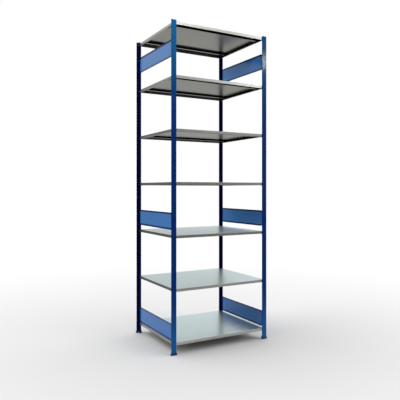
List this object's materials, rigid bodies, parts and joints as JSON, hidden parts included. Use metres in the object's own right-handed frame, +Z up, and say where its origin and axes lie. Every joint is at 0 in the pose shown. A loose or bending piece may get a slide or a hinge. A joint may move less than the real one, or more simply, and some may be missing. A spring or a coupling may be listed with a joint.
{
  "type": "steel shelving unit",
  "caption": "Tall boltless steel shelving bay: slotted T-section uprights tied by hook-in plates, with stiffened tray shelves that lift off clips hooked at set heights, standing on moulded feet.",
  "frame": {"origin": "on the floor, under the middle of the bay", "axes": "+X across the width, to the right seen from the front; +Y to the back, so the open front faces -Y; +Z up"},
  "size_m": [1.06, 0.824, 3],
  "materials": {
    "frame_paint": "smooth semi-gloss blue powder coat",
    "galvanised_sheet": "bright galvanised sheet with a faint spangle",
    "clip_zinc": "satin zinc plating",
    "foot_plastic": "moulded near-black plastic"
  },
  "bodies": {
    "bay_frame": {"foot_front_left": "foot_plastic", "foot_front_right": "foot_plastic", "foot_rear_left": "foot_plastic", "foot_rear_right": "foot_plastic", "upright_front_left": "frame_paint", "upright_front_right": "frame_paint", "upright_rear_left": "frame_paint", "upright_rear_right": "frame_paint", "frame_plate_left_lower": "frame_paint", "frame_plate_left_middle": "frame_paint", "frame_plate_left_upper": "frame_paint", "frame_plate_right_lower": "frame_paint", "frame_plate_right_middle": "frame_paint", "frame_plate_right_upper": "frame_paint", "shelf_clips_level_1": "clip_zinc", "shelf_clips_level_2": "clip_zinc", "shelf_clips_level_3": "clip_zinc", "shelf_clips_level_4": "clip_zinc", "shelf_clips_level_5": "clip_zinc", "shelf_clips_level_6": "clip_zinc", "shelf_clips_level_7": "clip_zinc"},
    "shelf_1": {"shelf_level_1": "galvanised_sheet", "shelf_stiffeners_level_1": "galvanised_sheet"},
    "shelf_2": {"shelf_level_2": "galvanised_sheet", "shelf_stiffeners_level_2": "galvanised_sheet"},
    "shelf_3": {"shelf_level_3": "galvanised_sheet", "shelf_stiffeners_level_3": "galvanised_sheet"},
    "shelf_4": {"shelf_level_4": "galvanised_sheet", "shelf_stiffeners_level_4": "galvanised_sheet"},
    "shelf_5": {"shelf_level_5": "galvanised_sheet", "shelf_stiffeners_level_5": "galvanised_sheet"},
    "shelf_6": {"shelf_level_6": "galvanised_sheet", "shelf_stiffeners_level_6": "galvanised_sheet"},
    "shelf_7": {"shelf_level_7": "galvanised_sheet", "shelf_stiffeners_level_7": "galvanised_sheet"}
  },
  "joints": [
    {"name": "shelf_1_lift", "type": "slide", "parent": "bay_frame", "child": "shelf_1", "axis": [0, 0, 1], "range_m": [0, 0.06]},
    {"name": "shelf_2_lift", "type": "slide", "parent": "bay_frame", "child": "shelf_2", "axis": [0, 0, 1], "range_m": [0, 0.06]},
    {"name": "shelf_3_lift", "type": "slide", "parent": "bay_frame", "child": "shelf_3", "axis": [0, 0, 1], "range_m": [0, 0.06]},
    {"name": "shelf_4_lift", "type": "slide", "parent": "bay_frame", "child": "shelf_4", "axis": [0, 0, 1], "range_m": [0, 0.06]},
    {"name": "shelf_5_lift", "type": "slide", "parent": "bay_frame", "child": "shelf_5", "axis": [0, 0, 1], "range_m": [0, 0.06]},
    {"name": "shelf_6_lift", "type": "slide", "parent": "bay_frame", "child": "shelf_6", "axis": [0, 0, 1], "range_m": [0, 0.06]},
    {"name": "shelf_7_lift", "type": "slide", "parent": "bay_frame", "child": "shelf_7", "axis": [0, 0, 1], "range_m": [0, 0.06]}
  ]
}
